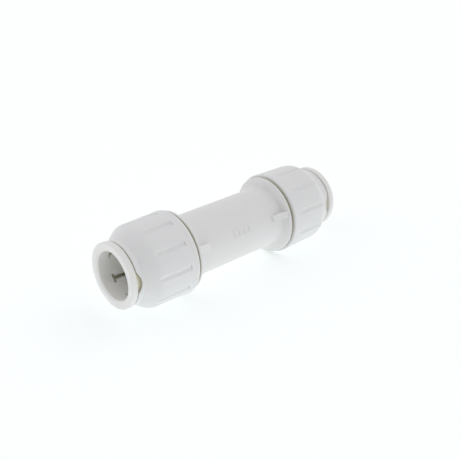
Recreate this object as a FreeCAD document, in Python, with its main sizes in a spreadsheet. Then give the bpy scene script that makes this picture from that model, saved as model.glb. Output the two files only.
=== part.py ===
import FreeCAD, Part
import os
import Sketcher

# Push fit coupling for 15 mm pipe, in millimetres. The axis is X, +Z is up and the origin is the
# middle of the coupling on its axis. Lengths named _s run along the axis from the end face of a
# collet towards the middle; names ending in _r are radii from the axis.
# Each end is drawn once in its own frame, with X pointing in, and placed at both ends.

SIZES = {
    "half_length": 42.0,
    # release collet
    "bore_r": 7.6,
    "mouth_r": 8.1,
    "mouth_s": 0.5,
    "grip_flange_r": 10.2,
    "grip_flange_s": 2.0,
    "grip_flange_round": 0.35,
    "neck_r": 9.0,
    "land_end_s": 4.6,
    "finger_inner_r": 7.85,
    "head_start_s": 8.3,
    "head_s": 9.5,
    "head_r": 10.25,
    "nose_r": 9.5,
    "collet_end_s": 10.4,
    "slot_bar_s": 4.15,
    "slot_bar_end_s": 5.0,
    "slot_bar_width": 2.7,
    "slot_stem_width": 1.1,
    "slot_out_r": 11.0,
    # steel grip insert
    "tooth_root_s": 8.9,
    "tooth_root_r": 8.95,
    "tooth_tip_s": 9.6,
    "tooth_tip_r": 7.3,
    "tooth_thick": 0.4,
    "tooth_arc": 38.0,
    "tooth_notch_r": 0.55,
    "tooth_notch_s": 9.8,
    "tooth_notch_out": 7.2,
    "tooth_notch_length": 3.0,
    "tooth_notch_reach": 1.5,
    "pocket_arc": 39.0,
    "pocket_gap": 0.05,
    # screw cap
    "lip_s": 2.5,
    "lip_inner_r": 9.3,
    "lip_outer_r": 9.95,
    "shoulder_start_s": 4.1,
    "shoulder_start_r": 10.0,
    "shoulder_s": 8.3,
    "shoulder_r": 12.98,
    "shoulder_round": 3.0,
    "wall_end_s": 20.3,
    "wall_r": 13.2,
    "collar_s": 20.7,
    "collar_r": 13.3,
    "rim_s": 22.0,
    "rim_round": 0.5,
    "notch_r": 5.0,
    "notch_depth": 1.2,
    "notch_reach": 12.0,
    "cone_s": 7.9,
    "cone_end_s": 9.3,
    "cavity_r": 10.6,
    "press_s": 11.3,
    "cap_major_r": 11.65,
    "cap_minor_r": 11.05,
    "groove_r": 1.3,
    "groove_start_s": 4.0,
    "groove_length": 15.0,
    "groove_start_out": 13.83,
    "groove_tilt": 0.81,
    # loose ring that presses on the seal
    "spacer_r": 7.75,
    "spacer_s": 11.6,
    "spacer_step_s": 12.4,
    "spacer_end_s": 14.1,
    "spacer_flange_r": 10.8,
    "spacer_nose_r": 9.5,
    # seal
    "seal_mid_s": 16.27,
    "seal_mid_r": 8.55,
    "seal_section_r": 1.2,
    # body
    "spigot_x": 28.6,
    "seat_x": 24.5,
    "seat_r": 9.8,
    "seat_mouth_r": 10.1,
    "seat_mouth_x": 28.3,
    "through_r": 7.75,
    "spigot_root_r": 10.8,
    "spigot_crest_r": 11.4,
    "flange_x": 19.15,
    "flange_back_x": 18.4,
    "flange_r": 12.7,
    "flange_round": 0.3,
    "flange_root_round": 1.0,
    "tube_r": 9.8,
    # gussets behind the flanges
    "gusset_end_x": 13.4,
    "gusset_low_r": 10.65,
    "gusset_high_r": 12.1,
    "gusset_root_r": 9.0,
    "gusset_width": 2.0,
    # thread
    "lead": 2.4,
    "ridge_base": 0.55,
    "ridge_crest": 0.3,
    "ridge_sink": 0.1,
    "spigot_thread_x": 19.8,
    "spigot_thread_turns": 2.75,
    "cap_thread_s": 13.84,
    "cap_thread_turns": 3.0,
    # raised mark on the tube
    "mark_x": 0.3,
    "mark_sink_r": 9.0,
    "mark_length": 6.4,
    "mark_width": 2.8,
    "mark_cell_length": 1.5,
    "mark_cell_width": 1.8,
    "mark_step": 2.0,
    "mark_height": 2.0,
    "mark_rise_r": 9.95,
    "mark_shell": 10.0,
}

FINGERS = 6
GROOVES = 11
FINGER_START = 51.0
MARK_ANGLE = 159.5
GROOVE_ANGLES = {"left": 109.0, "right": 97.0}
NOTCH_ANGLE = 175.0
SIDES = ("left", "right")

doc = FreeCAD.newDocument("push_fit_coupling")
sheet = doc.addObject("Spreadsheet::Sheet", "Sizes")
for row, (alias, number) in enumerate(SIZES.items(), start=1):
    sheet.set("A%d" % row, alias)
    sheet.set("B%d" % row, str(number))
    sheet.setAlias("B%d" % row, alias)
doc.recompute()


def value(term):
    """Number for a sum of size names, such as 'tooth_tip_s + tooth_thick'."""
    total = 0.0
    sign = 1.0
    for token in term.split():
        if token in "+-":
            sign = 1.0 if token == "+" else -1.0
        else:
            total += sign * (SIZES[token] if token in SIZES else float(token))
            sign = 1.0
    return total


def formula(term):
    """The same sum as an expression on the sheet."""
    return " ".join("Sizes." + token if token in SIZES else token for token in term.split())


def bind(obj, path, term):
    obj.setExpression(path, formula(term))


def origin_part(body, role):
    """Plane or axis of a body's own origin."""
    return next(f for f in body.Origin.OriginFeatures if f.Role == role)


def new_body(name):
    body = doc.addObject("PartDesign::Body", name)
    body.Label = name
    return body


def outline(body, name, corners, plane="XZ_Plane", turn=0.0):
    """Closed outline with straight sides; every corner is bound to the sheet.

    turn swings the drawing plane about the X axis, in degrees.
    """
    sketch = body.newObject("Sketcher::SketchObject", name)
    sketch.AttachmentSupport = [(origin_part(body, plane), "")]
    sketch.MapMode = "FlatFace"
    rotation = FreeCAD.Rotation(FreeCAD.Vector(1, 0, 0), turn)
    sketch.AttachmentOffset = FreeCAD.Placement(FreeCAD.Vector(), rotation)
    points = [FreeCAD.Vector(value(u), value(v), 0) for u, v in corners]
    count = len(points)
    for i in range(count):
        sketch.addGeometry(Part.LineSegment(points[i], points[(i + 1) % count]), False)
    for i in range(count):
        sketch.addConstraint(Sketcher.Constraint("Coincident", i, 2, (i + 1) % count, 1))
    for i, (u, v) in enumerate(corners):
        for kind, term in (("DistanceX", u), ("DistanceY", v)):
            label = ("along_%d" if kind == "DistanceX" else "out_%d") % i
            index = sketch.addConstraint(Sketcher.Constraint(kind, -1, 1, i, 1, value(term)))
            sketch.renameConstraint(index, label)
            bind(sketch, "Constraints." + label, term)
    return sketch


def turned(body, name, corners, kind="Revolution", angle=360.0, angle_term=None):
    """Outline turned about the body's X axis."""
    sketch = outline(body, name + "_outline", corners)
    feature = body.newObject("PartDesign::" + kind, name)
    feature.Profile = sketch
    feature.ReferenceAxis = (origin_part(body, "X_Axis"), [""])
    feature.Angle = angle
    if angle_term:
        feature.Midplane = True
        bind(feature, "Angle", angle_term)
    doc.recompute()
    return feature


def repeated(body, name, features, count):
    """Features repeated evenly about the body's X axis."""
    pattern = body.newObject("PartDesign::PolarPattern", name)
    pattern.Originals = features
    pattern.Axis = (origin_part(body, "X_Axis"), [""])
    pattern.Angle = 360.0
    pattern.Occurrences = count
    body.Tip = pattern
    doc.recompute()
    return pattern


def rounded(body, name, rings, size):
    """Fillet on the circular edges at the given (along, radius) pairs."""
    base = body.Tip
    edges = []
    for i, edge in enumerate(base.Shape.Edges, start=1):
        curve = edge.Curve
        if not isinstance(curve, Part.Circle):
            continue
        for along, radius in rings:
            if abs(curve.Center.x - value(along)) < 0.01 and abs(curve.Radius - value(radius)) < 0.01:
                edges.append("Edge%d" % i)
    if not edges:
        raise RuntimeError("no edge found for " + name)
    fillet = body.newObject("PartDesign::Fillet", name)
    fillet.Base = (base, edges)
    fillet.Radius = value(size)
    bind(fillet, "Radius", size)
    doc.recompute()
    return fillet


def helix_ridge(body, name, corners, turns):
    """Right-hand thread ridge swept about X from an outline of its section."""
    sketch = outline(body, name + "_section", corners)
    helix = body.newObject("PartDesign::AdditiveHelix", name)
    helix.Profile = sketch
    helix.ReferenceAxis = (origin_part(body, "X_Axis"), [""])
    helix.Mode = "pitch-turns-angle"
    helix.Pitch = value("lead")
    helix.Turns = value(turns)
    helix.LeftHanded = False
    bind(helix, "Pitch", "lead")
    bind(helix, "Turns", turns)
    doc.recompute()
    return helix


def ridge_section(middle, root, crest):
    """Four corners of a ridge: wide at its root, narrow at its crest."""
    return [
        (middle + " - ridge_base", root),
        (middle + " - ridge_crest", crest),
        (middle + " + ridge_crest", crest),
        (middle + " + ridge_base", root),
    ]


def end_turn(side, angle):
    """Turn in an end's own frame that brings its top to an angle from +Y towards +Z."""
    return angle - 90.0 if side == "left" else 90.0 - angle


def place_end(obj, side, angle=90.0):
    """Put an end piece at its end with its top at an angle; the right end is the left turned round."""
    spin = FreeCAD.Rotation(FreeCAD.Vector(1, 0, 0), end_turn(side, angle))
    if side == "left":
        obj.Placement = FreeCAD.Placement(FreeCAD.Vector(-SIZES["half_length"], 0, 0), spin)
        bind(obj, ".Placement.Base.x", "0 - half_length")
    else:
        about = FreeCAD.Rotation(FreeCAD.Vector(0, 0, 1), 180)
        obj.Placement = FreeCAD.Placement(FreeCAD.Vector(SIZES["half_length"], 0, 0), about.multiply(spin))
        bind(obj, ".Placement.Base.x", "half_length")


def box_cut(body, name, along, along_end, half_width_term, turn):
    """Radial slot cut outward from the axis at one angle, between two stations along it."""
    sketch = outline(
        body,
        name + "_outline",
        [(along, "6.5"), (along, "slot_out_r"), (along_end, "slot_out_r"), (along_end, "6.5")],
        turn=turn,
    )
    pocket = body.newObject("PartDesign::Pocket", name)
    pocket.Profile = sketch
    pocket.Midplane = True
    pocket.Length = value(half_width_term)
    bind(pocket, "Length", half_width_term)
    doc.recompute()
    return pocket


def make_collet(side):
    body = new_body(side + "_collet")
    turned(body, side + "_collet_blank", [
        ("0", "mouth_r"),
        ("mouth_s", "bore_r"),
        ("land_end_s", "bore_r"),
        ("collet_end_s", "finger_inner_r"),
        ("collet_end_s", "nose_r"),
        ("head_s", "head_r"),
        ("head_start_s", "neck_r"),
        ("grip_flange_s", "neck_r"),
        ("grip_flange_s", "grip_flange_r"),
        ("0", "grip_flange_r"),
    ])
    rounded(body, side + "_collet_edges", [
        ("0", "grip_flange_r"),
        ("grip_flange_s", "grip_flange_r"),
    ], "grip_flange_round")
    half_step = 180.0 / FINGERS
    bar = box_cut(body, side + "_slot_bar", "slot_bar_s", "slot_bar_end_s", "slot_bar_width", half_step)
    stem_start = "slot_bar_end_s - 0.2"
    stem_end = "collet_end_s + 0.5"
    stem = box_cut(body, side + "_slot_stem", stem_start, stem_end, "slot_stem_width", half_step)
    repeated(body, side + "_slots", [bar, stem], FINGERS)
    pocket = turned(body, side + "_tooth_pocket", [
        ("tooth_root_s - pocket_gap", "tooth_root_r + pocket_gap"),
        ("tooth_root_s + tooth_thick + pocket_gap", "tooth_root_r + pocket_gap"),
        ("tooth_tip_s + tooth_thick + pocket_gap", "tooth_tip_r"),
        ("tooth_tip_s - pocket_gap", "tooth_tip_r"),
    ], kind="Groove", angle=SIZES["pocket_arc"], angle_term="pocket_arc")
    repeated(body, side + "_tooth_pockets", [pocket], FINGERS)
    place_end(body, side, FINGER_START)
    return body


def make_tooth(side, number):
    name = "%s_tooth_%d" % (side, number)
    body = new_body(name)
    turned(body, name + "_blade", [
        ("tooth_root_s", "tooth_root_r"),
        ("tooth_root_s + tooth_thick", "tooth_root_r"),
        ("tooth_tip_s + tooth_thick", "tooth_tip_r"),
        ("tooth_tip_s", "tooth_tip_r"),
    ], angle=SIZES["tooth_arc"], angle_term="tooth_arc")
    notches = []
    for i, swing in enumerate((-12.0, -4.0, 4.0, 12.0)):
        notch = body.newObject("PartDesign::SubtractiveCylinder", "%s_notch_%d" % (name, i + 1))
        bind(notch, "Radius", "tooth_notch_r")
        bind(notch, "Height", "tooth_notch_length")
        out = FreeCAD.Rotation(FreeCAD.Vector(1, 0, 0), swing)
        centre = FreeCAD.Vector(
            value("tooth_notch_s - tooth_notch_reach"), 0, value("tooth_notch_out")
        )
        along = FreeCAD.Rotation(FreeCAD.Vector(0, 1, 0), 90)
        notch.Placement = FreeCAD.Placement(out.multVec(centre), out.multiply(along))
        notches.append(notch)
    doc.recompute()
    place_end(body, side, FINGER_START + 360.0 / FINGERS * (number - 1))
    return body


def make_cap(side):
    body = new_body(side + "_cap")
    turned(body, side + "_cap_blank", [
        ("lip_s", "lip_inner_r"),
        ("lip_s", "lip_outer_r"),
        ("shoulder_start_s", "shoulder_start_r"),
        ("shoulder_s", "shoulder_r"),
        ("wall_end_s", "wall_r"),
        ("collar_s", "collar_r"),
        ("rim_s", "collar_r"),
        ("rim_s", "cap_major_r"),
        ("press_s", "cap_major_r"),
        ("press_s", "cavity_r"),
        ("cone_end_s", "cavity_r"),
        ("cone_s", "lip_inner_r"),
    ])
    rounded(body, side + "_cap_shoulder", [("shoulder_s", "shoulder_r")], "shoulder_round")
    rounded(body, side + "_cap_rim", [("rim_s", "collar_r")], "rim_round")
    groove = body.newObject("PartDesign::SubtractiveCylinder", side + "_cap_groove")
    bind(groove, "Radius", "groove_r")
    bind(groove, "Height", "groove_length")
    lean = FreeCAD.Rotation(FreeCAD.Vector(0, 1, 0), 90 - SIZES["groove_tilt"])
    groove.Placement = FreeCAD.Placement(
        FreeCAD.Vector(value("groove_start_s"), 0, value("groove_start_out")), lean
    )
    bind(groove, ".Placement.Base.x", "groove_start_s")
    bind(groove, ".Placement.Base.z", "groove_start_out")
    doc.recompute()
    repeated(body, side + "_cap_grooves", [groove], GROOVES)
    notch = body.newObject("PartDesign::SubtractiveCylinder", side + "_cap_notch")
    bind(notch, "Radius", "notch_r")
    bind(notch, "Height", "notch_reach")
    swing = end_turn(side, NOTCH_ANGLE) - end_turn(side, GROOVE_ANGLES[side])
    notch.Placement = FreeCAD.Placement(
        FreeCAD.Vector(value("lip_s + notch_depth - notch_r"), 0, 0),
        FreeCAD.Rotation(FreeCAD.Vector(1, 0, 0), swing),
    )
    bind(notch, ".Placement.Base.x", "lip_s + notch_depth - notch_r")
    doc.recompute()
    helix_ridge(
        body,
        side + "_cap_thread",
        ridge_section("cap_thread_s", "cap_major_r + ridge_sink", "cap_minor_r"),
        "cap_thread_turns",
    )
    place_end(body, side, GROOVE_ANGLES[side])
    return body


def make_spacer(side):
    body = new_body(side + "_spacer")
    turned(body, side + "_spacer_ring", [
        ("spacer_s", "spacer_r"),
        ("spacer_s", "spacer_flange_r"),
        ("spacer_step_s", "spacer_flange_r"),
        ("spacer_step_s", "spacer_nose_r"),
        ("spacer_end_s", "spacer_nose_r"),
        ("spacer_end_s", "spacer_r"),
    ])
    place_end(body, side)
    return body


def make_seal(side):
    seal = doc.addObject("Part::Torus", side + "_o_ring")
    seal.Label = side + "_o_ring"
    bind(seal, "Radius1", "seal_mid_r")
    bind(seal, "Radius2", "seal_section_r")
    sign = -1.0 if side == "left" else 1.0
    seal.Placement = FreeCAD.Placement(
        FreeCAD.Vector(sign * value("half_length - seal_mid_s"), 0, 0),
        FreeCAD.Rotation(FreeCAD.Vector(0, 1, 0), 90),
    )
    if side == "left":
        bind(seal, ".Placement.Base.x", "seal_mid_s - half_length")
    else:
        bind(seal, ".Placement.Base.x", "half_length - seal_mid_s")
    return seal


def make_half(side):
    """Half of the body: tube, flange, gussets and threaded spigot, with X pointing out."""
    body = new_body(side + "_half")
    turned(body, side + "_half_turning", [
        ("seat_x", "through_r"),
        ("seat_x", "seat_r"),
        ("seat_mouth_x", "seat_r"),
        ("spigot_x", "seat_mouth_r"),
        ("spigot_x", "spigot_root_r"),
        ("flange_x", "spigot_root_r"),
        ("flange_x", "flange_r"),
        ("flange_back_x", "flange_r"),
        ("flange_back_x", "tube_r"),
        ("0", "tube_r"),
        ("0", "through_r"),
    ])
    rounded(body, side + "_flange_edges", [
        ("flange_x", "flange_r"),
        ("flange_back_x", "flange_r"),
    ], "flange_round")
    rounded(body, side + "_flange_root", [("flange_back_x", "tube_r")], "flange_root_round")
    helix_ridge(
        body,
        side + "_spigot_thread",
        ridge_section("spigot_thread_x", "spigot_root_r - ridge_sink", "spigot_crest_r"),
        "spigot_thread_turns",
    )
    for number, angle in enumerate((MARK_ANGLE, MARK_ANGLE + 180.0), start=1):
        gusset_name = "%s_gusset_%d" % (side, number)
        sketch = outline(body, gusset_name + "_outline", [
            ("gusset_end_x", "gusset_root_r"),
            ("gusset_end_x", "gusset_low_r"),
            ("flange_back_x + 0.2", "gusset_high_r"),
            ("flange_back_x + 0.2", "gusset_root_r"),
        ], turn=-end_turn(side, angle))
        gusset = body.newObject("PartDesign::Pad", gusset_name)
        gusset.Profile = sketch
        gusset.Midplane = True
        gusset.Length = value("gusset_width")
        bind(gusset, "Length", "gusset_width")
        doc.recompute()
    if side == "left":
        body.Placement.Rotation = FreeCAD.Rotation(FreeCAD.Vector(0, 0, 1), 180)
    return body


def joined(kind, name, shapes):
    obj = doc.addObject("Part::" + kind, name)
    obj.Shapes = shapes
    return obj


def cylinder(name, radius, height, base, direction):
    """Cylinder bound to the sheet that stands on a point and points along a direction."""
    obj = doc.addObject("Part::Cylinder", name)
    bind(obj, "Radius", radius)
    bind(obj, "Height", height)
    turn = FreeCAD.Rotation(FreeCAD.Vector(0, 0, 1), direction)
    obj.Placement = FreeCAD.Placement(base, turn)
    return obj


def mark_block(name, length, width, shift):
    """Block through the tube wall, centred on the mark and shifted along the axis."""
    block = doc.addObject("Part::Box", name)
    bind(block, "Length", length)
    bind(block, "Width", width)
    bind(block, "Height", "mark_height")
    turn = FreeCAD.Rotation(FreeCAD.Vector(1, 0, 0), MARK_ANGLE - 90.0)
    corner = FreeCAD.Vector(
        value("mark_x") + shift - 0.5 * value(length), -0.5 * value(width), value("mark_sink_r")
    )
    block.Placement = FreeCAD.Placement(turn.multVec(corner), turn)
    return block


def make_mark():
    """Blank raised frame with three cells that follows the tube, standing in for a moulded mark."""
    frame = doc.addObject("Part::Cut", "mark_frame")
    frame.Base = mark_block("mark_plate", "mark_length", "mark_width", 0.0)
    frame.Tool = joined("MultiFuse", "mark_cells", [
        mark_block("mark_cell_%d" % (i + 2), "mark_cell_length", "mark_cell_width", i * SIZES["mark_step"])
        for i in (-1, 0, 1)
    ])
    start = FreeCAD.Vector(value("mark_x") - 0.5 * value("mark_shell"), 0, 0)
    shell = cylinder("mark_skin", "mark_rise_r", "mark_shell", start, FreeCAD.Vector(1, 0, 0))
    return joined("MultiCommon", "mark", [frame, shell])


def make_fitting_body():
    body = joined("MultiFuse", "fitting_body", [make_half(side) for side in SIDES] + [make_mark()])
    body.Refine = True
    body.Label = "fitting_body"
    return body


pieces = [make_fitting_body()]
for side in SIDES:
    pieces.append(make_cap(side))
    pieces.append(make_collet(side))
    pieces.append(make_spacer(side))
    pieces.append(make_seal(side))
    for number in range(1, FINGERS + 1):
        pieces.append(make_tooth(side, number))
doc.recompute()

for obj in doc.Objects:
    if "Invalid" in obj.State or "Error" in obj.State:
        raise RuntimeError("%s did not compute: %s" % (obj.Label, obj.State))

os.makedirs("parts", exist_ok=True)
for piece in pieces:
    shape = piece.Shape
    if shape.isNull() or not shape.isValid() or len(shape.Solids) != 1:
        raise RuntimeError("%s has no single valid solid" % piece.Label)
    shape.exportStep("parts/%s.step" % piece.Label)
    print("%-14s volume %9.2f mm3" % (piece.Label, shape.Volume))
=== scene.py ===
import bpy
from mathutils import Matrix, Vector


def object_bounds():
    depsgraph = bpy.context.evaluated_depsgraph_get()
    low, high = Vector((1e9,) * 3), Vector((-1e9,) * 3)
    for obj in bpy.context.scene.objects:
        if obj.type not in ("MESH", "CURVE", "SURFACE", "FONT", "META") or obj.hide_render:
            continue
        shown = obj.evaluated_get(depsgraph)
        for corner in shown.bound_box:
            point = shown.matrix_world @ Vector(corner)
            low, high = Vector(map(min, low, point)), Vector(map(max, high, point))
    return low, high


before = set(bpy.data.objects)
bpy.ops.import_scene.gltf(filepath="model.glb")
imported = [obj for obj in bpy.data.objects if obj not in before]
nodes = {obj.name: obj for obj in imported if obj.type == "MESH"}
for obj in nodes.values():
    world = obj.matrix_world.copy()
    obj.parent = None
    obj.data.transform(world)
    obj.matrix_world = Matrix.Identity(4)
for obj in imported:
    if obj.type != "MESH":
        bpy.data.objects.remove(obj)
cad_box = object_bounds()
scene = bpy.context.scene

# --- camera: the photograph's direction, distance and lens ----------------------------------
CAMERA_AT = Vector((-0.1458, -0.1645, 0.1117))
CAMERA_RIGHT = Vector((0.7405, -0.6721, 0.0))
CAMERA_UP = Vector((0.3032, 0.3339, 0.8926))
LENS_MM = 60.87
SENSOR_MM = 36.0
CLIP_START = 0.005
CLIP_END = 20.0


def add_camera():
    data = bpy.data.cameras.new("camera")
    data.lens = LENS_MM
    data.sensor_width = SENSOR_MM
    data.clip_start = CLIP_START
    data.clip_end = CLIP_END
    camera = bpy.data.objects.new("camera", data)
    right = CAMERA_RIGHT.normalized()
    up = (CAMERA_UP - right * CAMERA_UP.dot(right)).normalized()
    back = right.cross(up)
    camera.matrix_world = Matrix((
        (right.x, up.x, back.x, CAMERA_AT.x),
        (right.y, up.y, back.y, CAMERA_AT.y),
        (right.z, up.z, back.z, CAMERA_AT.z),
        (0.0, 0.0, 0.0, 1.0),
    ))
    scene.collection.objects.link(camera)
    scene.camera = camera


# --- node helpers ---------------------------------------------------------------------------

# Half the width, in metres, of the soft edge of a colour zone.
ZONE_EDGE = 0.00004

# Sockets of the Mix node's colour inputs and its colour output.
MIX_FIRST = 6
MIX_SECOND = 7
MIX_RESULT = 2


class Graph:
    """Small wrapper to build a node tree."""

    def __init__(self, tree):
        self.tree = tree

    def add(self, kind, **settings):
        node = self.tree.nodes.new("ShaderNode" + kind)
        for key, setting in settings.items():
            setattr(node, key, setting)
        return node

    def link(self, output, node, name):
        self.tree.links.new(output, node.inputs[name])

    def math(self, operation, a, b=None):
        node = self.add("Math", operation=operation)
        for index, term in enumerate((a, b)):
            if term is None:
                continue
            if isinstance(term, (int, float)):
                node.inputs[index].default_value = term
            else:
                self.tree.links.new(term, node.inputs[index])
        return node.outputs[0]

    def noise(self, vector, scale, detail, roughness):
        node = self.add("TexNoise")
        node.inputs["Scale"].default_value = scale
        node.inputs["Detail"].default_value = detail
        node.inputs["Roughness"].default_value = roughness
        self.link(vector, node, "Vector")
        return node.outputs["Fac"]

    def spread(self, fac, low, high):
        """Maps 0..1 to low..high."""
        node = self.add("MapRange")
        node.inputs["To Min"].default_value = low
        node.inputs["To Max"].default_value = high
        self.link(fac, node, "Value")
        return node.outputs["Result"]

    def mix(self, fac, first, second):
        node = self.add("Mix", data_type="RGBA")
        self.link(fac, node, "Factor")
        sockets = ((node.inputs[MIX_FIRST], first), (node.inputs[MIX_SECOND], second))
        for socket, colour in sockets:
            if isinstance(colour, tuple):
                socket.default_value = (*colour, 1.0)
            else:
                self.tree.links.new(colour, socket)
        return node.outputs[MIX_RESULT]

    def within(self, term, low, high):
        """1 where a length lies between two limits, with a soft edge."""
        rise = self.add("MapRange")
        rise.inputs["From Min"].default_value = low - ZONE_EDGE
        rise.inputs["From Max"].default_value = low + ZONE_EDGE
        self.link(term, rise, "Value")
        fall = self.add("MapRange")
        fall.inputs["From Min"].default_value = high - ZONE_EDGE
        fall.inputs["From Max"].default_value = high + ZONE_EDGE
        fall.inputs["To Min"].default_value = 1.0
        fall.inputs["To Max"].default_value = 0.0
        self.link(term, fall, "Value")
        return self.math("MULTIPLY", rise.outputs["Result"], fall.outputs["Result"])

    def polar(self, place):
        """Radius from the coupling's axis, and distance along it from the middle."""
        split = self.add("SeparateXYZ")
        self.link(place, split, "Vector")
        x, y, z = split.outputs
        squares = self.math("ADD", self.math("MULTIPLY", y, y), self.math("MULTIPLY", z, z))
        return self.math("SQRT", squares), self.math("ABSOLUTE", x)


def new_material(name):
    material = bpy.data.materials.new(name)
    material.use_nodes = True
    tree = material.node_tree
    tree.nodes.clear()
    graph = Graph(tree)
    shader = graph.add("BsdfPrincipled")
    output = graph.add("OutputMaterial")
    graph.link(shader.outputs[0], output, "Surface")
    place = graph.add("TexCoord").outputs["Object"]
    return material, graph, shader, place


# --- materials ------------------------------------------------------------------------------


# Noise scales are per metre of the object.
CLOUD_SCALE = 140.0
CLOUD_STRETCH = (0.35, 1.0, 1.0)
SMEAR_SCALE = 420.0
FINE_GRAIN_SCALE = 9000.0
BROAD_GRAIN_SCALE = 260.0
FINE_GRAIN_SHARE = 0.35
GRAIN_STRENGTH = 0.35
GRAIN_DEPTH = 0.00001
GLOSSIER = 0.06
DULLER = 0.08
PLASTIC_IOR = 1.48
SUBSURFACE_WEIGHT = 0.25
SUBSURFACE_RADIUS = (1.0, 0.9, 0.75)
SUBSURFACE_SCALE = 0.0008


def moulded_plastic(name, light, dark, rough, zones=()):
    """White injection-moulded plastic: faint flow clouding and a satin skin with a fine grain.

    Each zone is (tint, (lowest, highest radius), (lowest, highest distance from the middle)), in
    metres, for a surface with another tint, such as the bore, painted lighter as painted light for
    the light that comes through the wall, or an olive-tinted thread.
    """
    material, graph, shader, place = new_material(name)
    stretch = graph.add("Mapping")
    stretch.inputs["Scale"].default_value = CLOUD_STRETCH
    graph.link(place, stretch, "Vector")
    clouds = graph.noise(stretch.outputs["Vector"], CLOUD_SCALE, detail=3.0, roughness=0.5)
    colour = graph.mix(clouds, light, dark)
    radius, along = graph.polar(place)
    for tint, radii, stations in zones:
        in_ring = graph.within(radius, *radii)
        in_stretch = graph.within(along, *stations)
        zone = graph.math("MULTIPLY", in_ring, in_stretch)
        colour = graph.mix(zone, colour, tint)
    graph.link(colour, shader, "Base Color")
    smears = graph.noise(place, SMEAR_SCALE, detail=5.0, roughness=0.6)
    gloss = graph.spread(smears, rough - GLOSSIER, rough + DULLER)
    graph.link(gloss, shader, "Roughness")
    fine = graph.noise(place, FINE_GRAIN_SCALE, detail=2.0, roughness=0.6)
    broad = graph.noise(place, BROAD_GRAIN_SCALE, detail=2.0, roughness=0.4)
    height = graph.math("ADD", graph.math("MULTIPLY", fine, FINE_GRAIN_SHARE), broad)
    bump = graph.add("Bump")
    bump.inputs["Strength"].default_value = GRAIN_STRENGTH
    bump.inputs["Distance"].default_value = GRAIN_DEPTH
    graph.link(height, bump, "Height")
    graph.link(bump.outputs["Normal"], shader, "Normal")
    shader.inputs["IOR"].default_value = PLASTIC_IOR
    shader.inputs["Subsurface Weight"].default_value = SUBSURFACE_WEIGHT
    shader.inputs["Subsurface Radius"].default_value = SUBSURFACE_RADIUS
    shader.inputs["Subsurface Scale"].default_value = SUBSURFACE_SCALE
    return material


BLOOM_SCALE = 900.0
RUBBER_BLACK = (0.012, 0.012, 0.013)
RUBBER_BLOOM = (0.03, 0.03, 0.032)
RUBBER_ROUGHNESS = (0.32, 0.5)


def seal_rubber(name):
    """Black lubricated rubber with a faint bloom."""
    material, graph, shader, place = new_material(name)
    bloom = graph.noise(place, BLOOM_SCALE, detail=4.0, roughness=0.6)
    graph.link(graph.mix(bloom, RUBBER_BLACK, RUBBER_BLOOM), shader, "Base Color")
    graph.link(graph.spread(bloom, *RUBBER_ROUGHNESS), shader, "Roughness")
    return material


DRAWN_LINE_SCALE = 9000.0
DRAWN_LINE_STRETCH = (0.05, 1.0, 1.0)
STEEL_LIGHT = (0.62, 0.62, 0.6)
STEEL_DARK = (0.5, 0.5, 0.49)
STEEL_ROUGHNESS = (0.22, 0.4)


def grip_steel(name):
    """Rolled stainless strip: fine drawn lines."""
    material, graph, shader, place = new_material(name)
    stretch = graph.add("Mapping")
    stretch.inputs["Scale"].default_value = DRAWN_LINE_STRETCH
    graph.link(place, stretch, "Vector")
    drawn = stretch.outputs["Vector"]
    lines = graph.noise(drawn, DRAWN_LINE_SCALE, detail=3.0, roughness=0.6)
    graph.link(graph.mix(lines, STEEL_LIGHT, STEEL_DARK), shader, "Base Color")
    graph.link(graph.spread(lines, *STEEL_ROUGHNESS), shader, "Roughness")
    shader.inputs["Metallic"].default_value = 1.0
    return material


def paint(node_name, material):
    node = nodes[node_name]
    for index in range(len(node.data.materials)):
        node.data.materials[index] = material
    if not node.data.materials:
        node.data.materials.append(material)


BODY_LIGHT = (0.872, 0.869, 0.866)
BODY_DARK = (0.852, 0.850, 0.846)
CAP_LIGHT = (0.866, 0.873, 0.874)
CAP_DARK = (0.846, 0.854, 0.855)
COLLET_LIGHT = (0.905, 0.903, 0.892)
COLLET_DARK = (0.885, 0.883, 0.870)
SPACER_LIGHT = (0.66, 0.65, 0.6)
SPACER_DARK = (0.62, 0.61, 0.56)
BODY_ROUGHNESS = 0.42
CAP_ROUGHNESS = 0.40
COLLET_ROUGHNESS = 0.38
SPACER_ROUGHNESS = 0.45
# Painted light: a lighter white for the bore, standing in for light that comes in through the thin
# translucent wall.
BORE_PAINTED_LIGHT_WHITE = (0.975, 0.970, 0.945)
# Olive tints, darker than the white, on the thread and neck surfaces inside the gaps between
# parts.
THREAD_OLIVE = (0.70, 0.68, 0.55)
NECK_OLIVE = (0.74, 0.72, 0.57)

# Zones of another tint: (tint, (lowest, highest radius), (lowest, highest distance from middle)).
# The bore zone paints the bore of the body and the collet lighter, as painted light.
BORE_PAINTED_LIGHT_ZONE = (BORE_PAINTED_LIGHT_WHITE, (0.0, 0.0080), (0.0, 0.043))
BODY_THREAD_ZONE = (THREAD_OLIVE, (0.0081, 0.01242), (0.0190, 0.0300))
CAP_THREAD_ZONE = (THREAD_OLIVE, (0.0100, 0.0121), (0.0190, 0.0340))
CAP_NECK_ZONE = (NECK_OLIVE, (0.0080, 0.0095), (0.0330, 0.0400))
COLLET_NECK_ZONE = (NECK_OLIVE, (0.0082, 0.0096), (0.0310, 0.0399))


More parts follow.
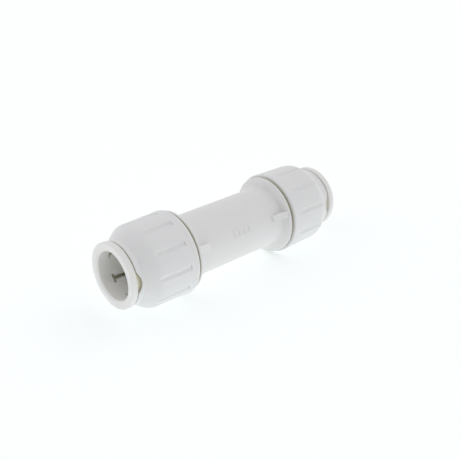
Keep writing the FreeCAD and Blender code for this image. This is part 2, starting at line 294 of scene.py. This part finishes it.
def paint_everything():
    body = moulded_plastic(
        "body_white", BODY_LIGHT, BODY_DARK, BODY_ROUGHNESS, (BORE_PAINTED_LIGHT_ZONE, BODY_THREAD_ZONE))
    cap = moulded_plastic(
        "cap_white", CAP_LIGHT, CAP_DARK, CAP_ROUGHNESS, (CAP_THREAD_ZONE, CAP_NECK_ZONE))
    collet = moulded_plastic(
        "collet_white", COLLET_LIGHT, COLLET_DARK, COLLET_ROUGHNESS, (BORE_PAINTED_LIGHT_ZONE, COLLET_NECK_ZONE))
    spacer = moulded_plastic("spacer_natural", SPACER_LIGHT, SPACER_DARK, SPACER_ROUGHNESS)
    rubber = seal_rubber("seal_black")
    steel = grip_steel("grip_steel")
    paint("fitting_body", body)
    for side in ("left", "right"):
        paint(side + "_cap", cap)
        paint(side + "_collet", collet)
        paint(side + "_spacer", spacer)
        paint(side + "_o_ring", rubber)
    for node_name in nodes:
        if "_tooth_" in node_name:
            paint(node_name, steel)


# --- floor and light ------------------------------------------------------------------------

FLOOR_HALF = 6.0
FLOOR_COLOUR = (0.86, 0.87, 0.87, 1.0)
FLOOR_GLOW = (0.94, 1.0, 1.0, 1.0)
FLOOR_GLOW_STRENGTH = 0.35
FLOOR_ROUGHNESS = 0.9


def add_floor():
    """Plain pale light-table floor that the cap rims rest on."""
    level = cad_box[0][2]
    corners = [(x, y, level) for x, y in (
        (-FLOOR_HALF, -FLOOR_HALF), (FLOOR_HALF, -FLOOR_HALF),
        (FLOOR_HALF, FLOOR_HALF), (-FLOOR_HALF, FLOOR_HALF),
    )]
    mesh = bpy.data.meshes.new("floor")
    mesh.from_pydata(corners, [], [(0, 1, 2, 3)])
    floor = bpy.data.objects.new("floor", mesh)
    scene.collection.objects.link(floor)
    material, _, shader, _ = new_material("floor_pale")
    shader.inputs["Base Color"].default_value = FLOOR_COLOUR
    shader.inputs["Roughness"].default_value = FLOOR_ROUGHNESS
    shader.inputs["Specular IOR Level"].default_value = 0.0
    shader.inputs["Emission Color"].default_value = FLOOR_GLOW
    shader.inputs["Emission Strength"].default_value = FLOOR_GLOW_STRENGTH
    mesh.materials.append(material)


TENT_STRENGTH = 0.85
FRONT_TOWARD = Vector((-0.66, -0.72, 0.16))
FRONT_LOSS = 0.58
BACK_TOWARD = Vector((0.64, 0.77, 0.0))
BACK_LOSS = 0.16
TENT_COLOUR = (1.0, 0.99, 1.0, 1.0)

# Cosine of the angle from an opening's middle at which it starts to take light.
OPENING_EDGE = 0.45


def opening(graph, direction, toward, loss):
    """Light lost through an opening of the tent, strongest straight toward it."""
    dot = graph.add("VectorMath", operation="DOT_PRODUCT")
    graph.link(direction, dot, 0)
    dot.inputs[1].default_value = toward.normalized()
    fall = graph.add("MapRange", interpolation_type="SMOOTHSTEP")
    fall.inputs["From Min"].default_value = OPENING_EDGE
    fall.inputs["To Max"].default_value = loss
    graph.link(dot.outputs["Value"], fall, "Value")
    return fall.outputs["Result"]


def add_world():
    """Soft white tent, darker through its open front and a little darker at its back."""
    world = bpy.data.worlds.new("studio")
    scene.world = world
    world.use_nodes = True
    tree = world.node_tree
    tree.nodes.clear()
    graph = Graph(tree)
    background = graph.add("Background")
    output = graph.add("OutputWorld")
    graph.link(background.outputs[0], output, "Surface")
    direction = graph.add("TexCoord").outputs["Generated"]
    front = opening(graph, direction, FRONT_TOWARD, FRONT_LOSS)
    back = opening(graph, direction, BACK_TOWARD, BACK_LOSS)
    strength = graph.math("SUBTRACT", graph.math("SUBTRACT", TENT_STRENGTH, front), back)
    background.inputs["Color"].default_value = TENT_COLOUR
    graph.link(strength, background, "Strength")


# The bore, painted a lighter white as painted light, lights itself by many reflections, which need
# this many bounces.
DIFFUSE_BOUNCES = 12

add_camera()
paint_everything()
add_floor()
add_world()
scene.view_settings.view_transform = "Standard"
scene.cycles.diffuse_bounces = DIFFUSE_BOUNCES
